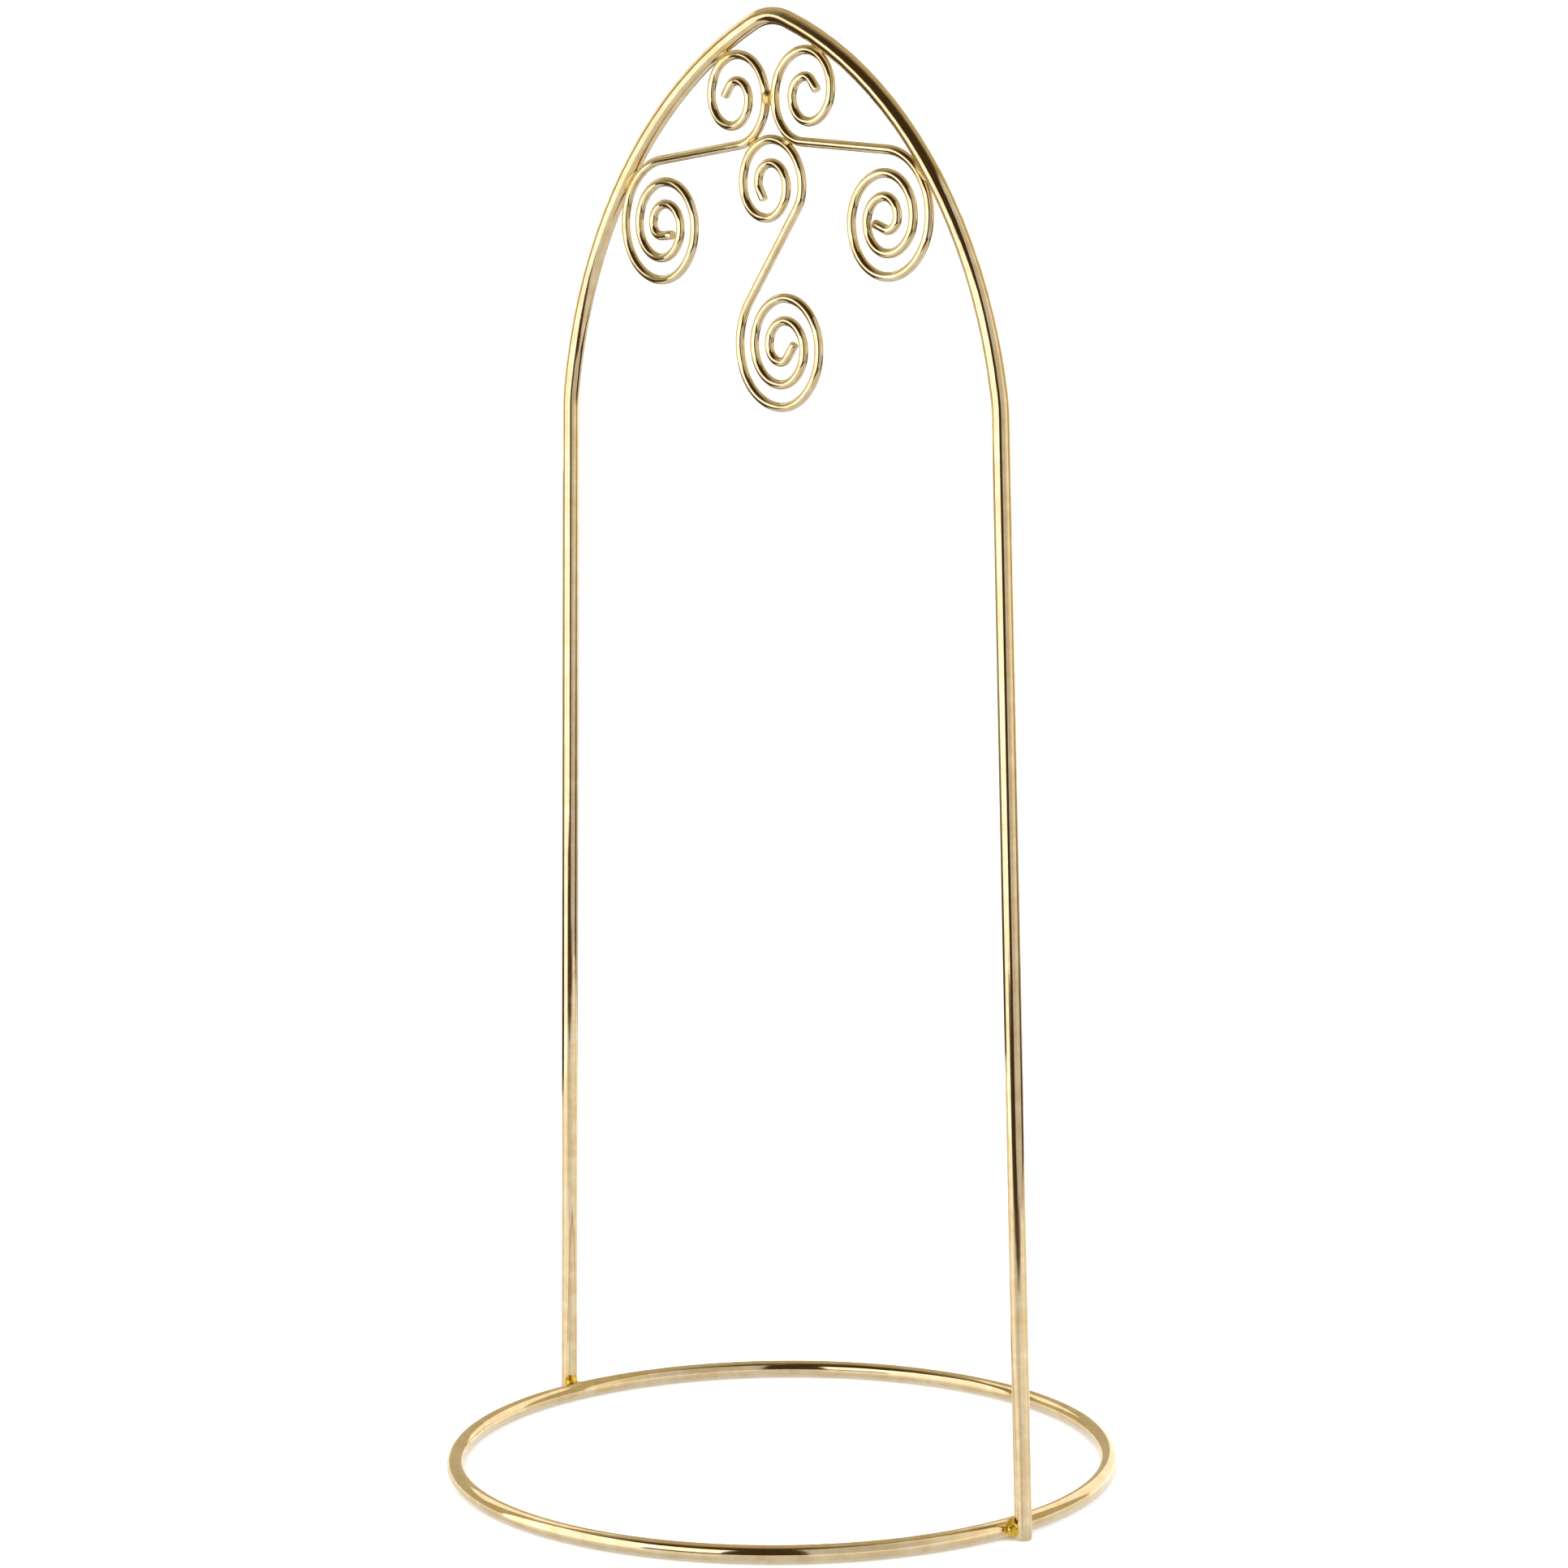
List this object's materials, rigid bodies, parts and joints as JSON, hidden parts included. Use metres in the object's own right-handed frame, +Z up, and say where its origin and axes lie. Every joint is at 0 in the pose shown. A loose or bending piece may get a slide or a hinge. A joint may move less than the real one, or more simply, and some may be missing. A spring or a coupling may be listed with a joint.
{
  "type": "wreath frame",
  "caption": "Tabletop hanging stand of round gold-coloured rod: a pointed arch on a base ring, with curled wire scrolls in its head and a volute to hang from.",
  "frame": {"origin": "floor level at the centre of the base ring", "axes": "+Z up; X across the arch, from the left leg to the right leg; Y through the arch, +Y to its back"},
  "size_m": [0.1684, 0.16, 0.343],
  "materials": {
    "frame_rod": "pale brass plating over drawn steel rod, polished",
    "scroll_wire": "pale brass plating over drawn steel wire, polished",
    "braze_bead": "deeper gold braze fillet, plated over"
  },
  "bodies": {
    "root": {"base_ring": "frame_rod", "arch_rod": "frame_rod", "left_scroll": "scroll_wire", "right_scroll": "scroll_wire", "centre_scroll": "scroll_wire", "left_foot_bead": "braze_bead", "right_foot_bead": "braze_bead", "left_low_bead": "braze_bead", "right_low_bead": "braze_bead", "left_top_bead": "braze_bead", "right_top_bead": "braze_bead", "crown_bead": "braze_bead", "left_centre_bead": "braze_bead", "right_centre_bead": "braze_bead"}
  },
  "joints": []
}
